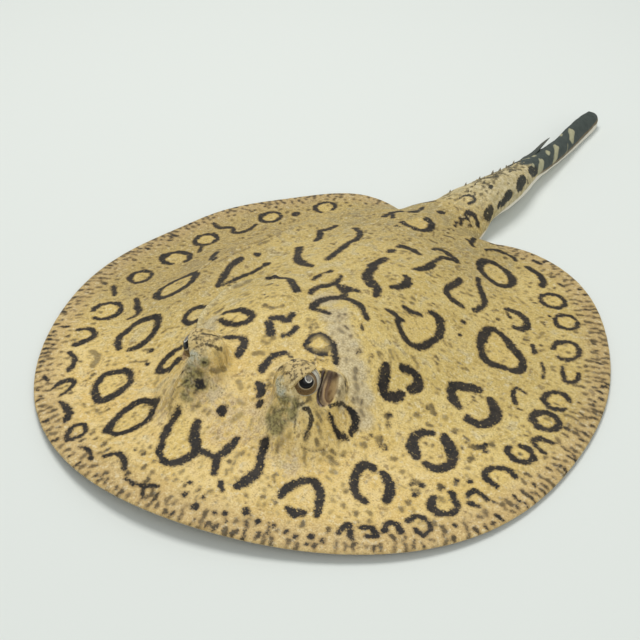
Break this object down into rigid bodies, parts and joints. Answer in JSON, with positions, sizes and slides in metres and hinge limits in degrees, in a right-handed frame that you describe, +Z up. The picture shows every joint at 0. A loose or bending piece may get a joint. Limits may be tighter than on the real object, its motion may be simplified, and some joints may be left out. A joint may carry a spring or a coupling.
{
  "type": "freshwater stingray model",
  "caption": "Life-size still model of a young freshwater stingray lying flat, with a round spotted disc, raised eyes, spiracles behind them and a short stout tail with a sting.",
  "frame": {"origin": "on the floor under the middle of the disc, at the flat of the belly", "axes": "+Z up, -Y towards the snout and +Y towards the tail, +X to the animal's left"},
  "size_m": [0.2497, 0.4163, 0.0402],
  "materials": {
    "skin_back": "moist skin, yellow ochre with dark brown rosettes",
    "skin_fin": "moist skin, ochre to pinkish tan with dark spots at the margin",
    "skin_pale": "moist pale skin of the underside",
    "skin_dark": "moist dark skin with pale bars",
    "sting": "bony spine in a thin dark sheath",
    "eye": "wet glossy eye"
  },
  "bodies": {
    "root": {"head": "skin_back", "trunk": "skin_back", "pectoral_fin_left": "skin_fin", "pectoral_fin_right": "skin_fin", "pelvic_fin_left": "skin_pale", "pelvic_fin_right": "skin_pale", "tail_base": "skin_back", "tail_middle": "skin_back", "tail_tip": "skin_dark", "sting": "sting", "eye_left": "eye", "eye_right": "eye"}
  },
  "joints": []
}
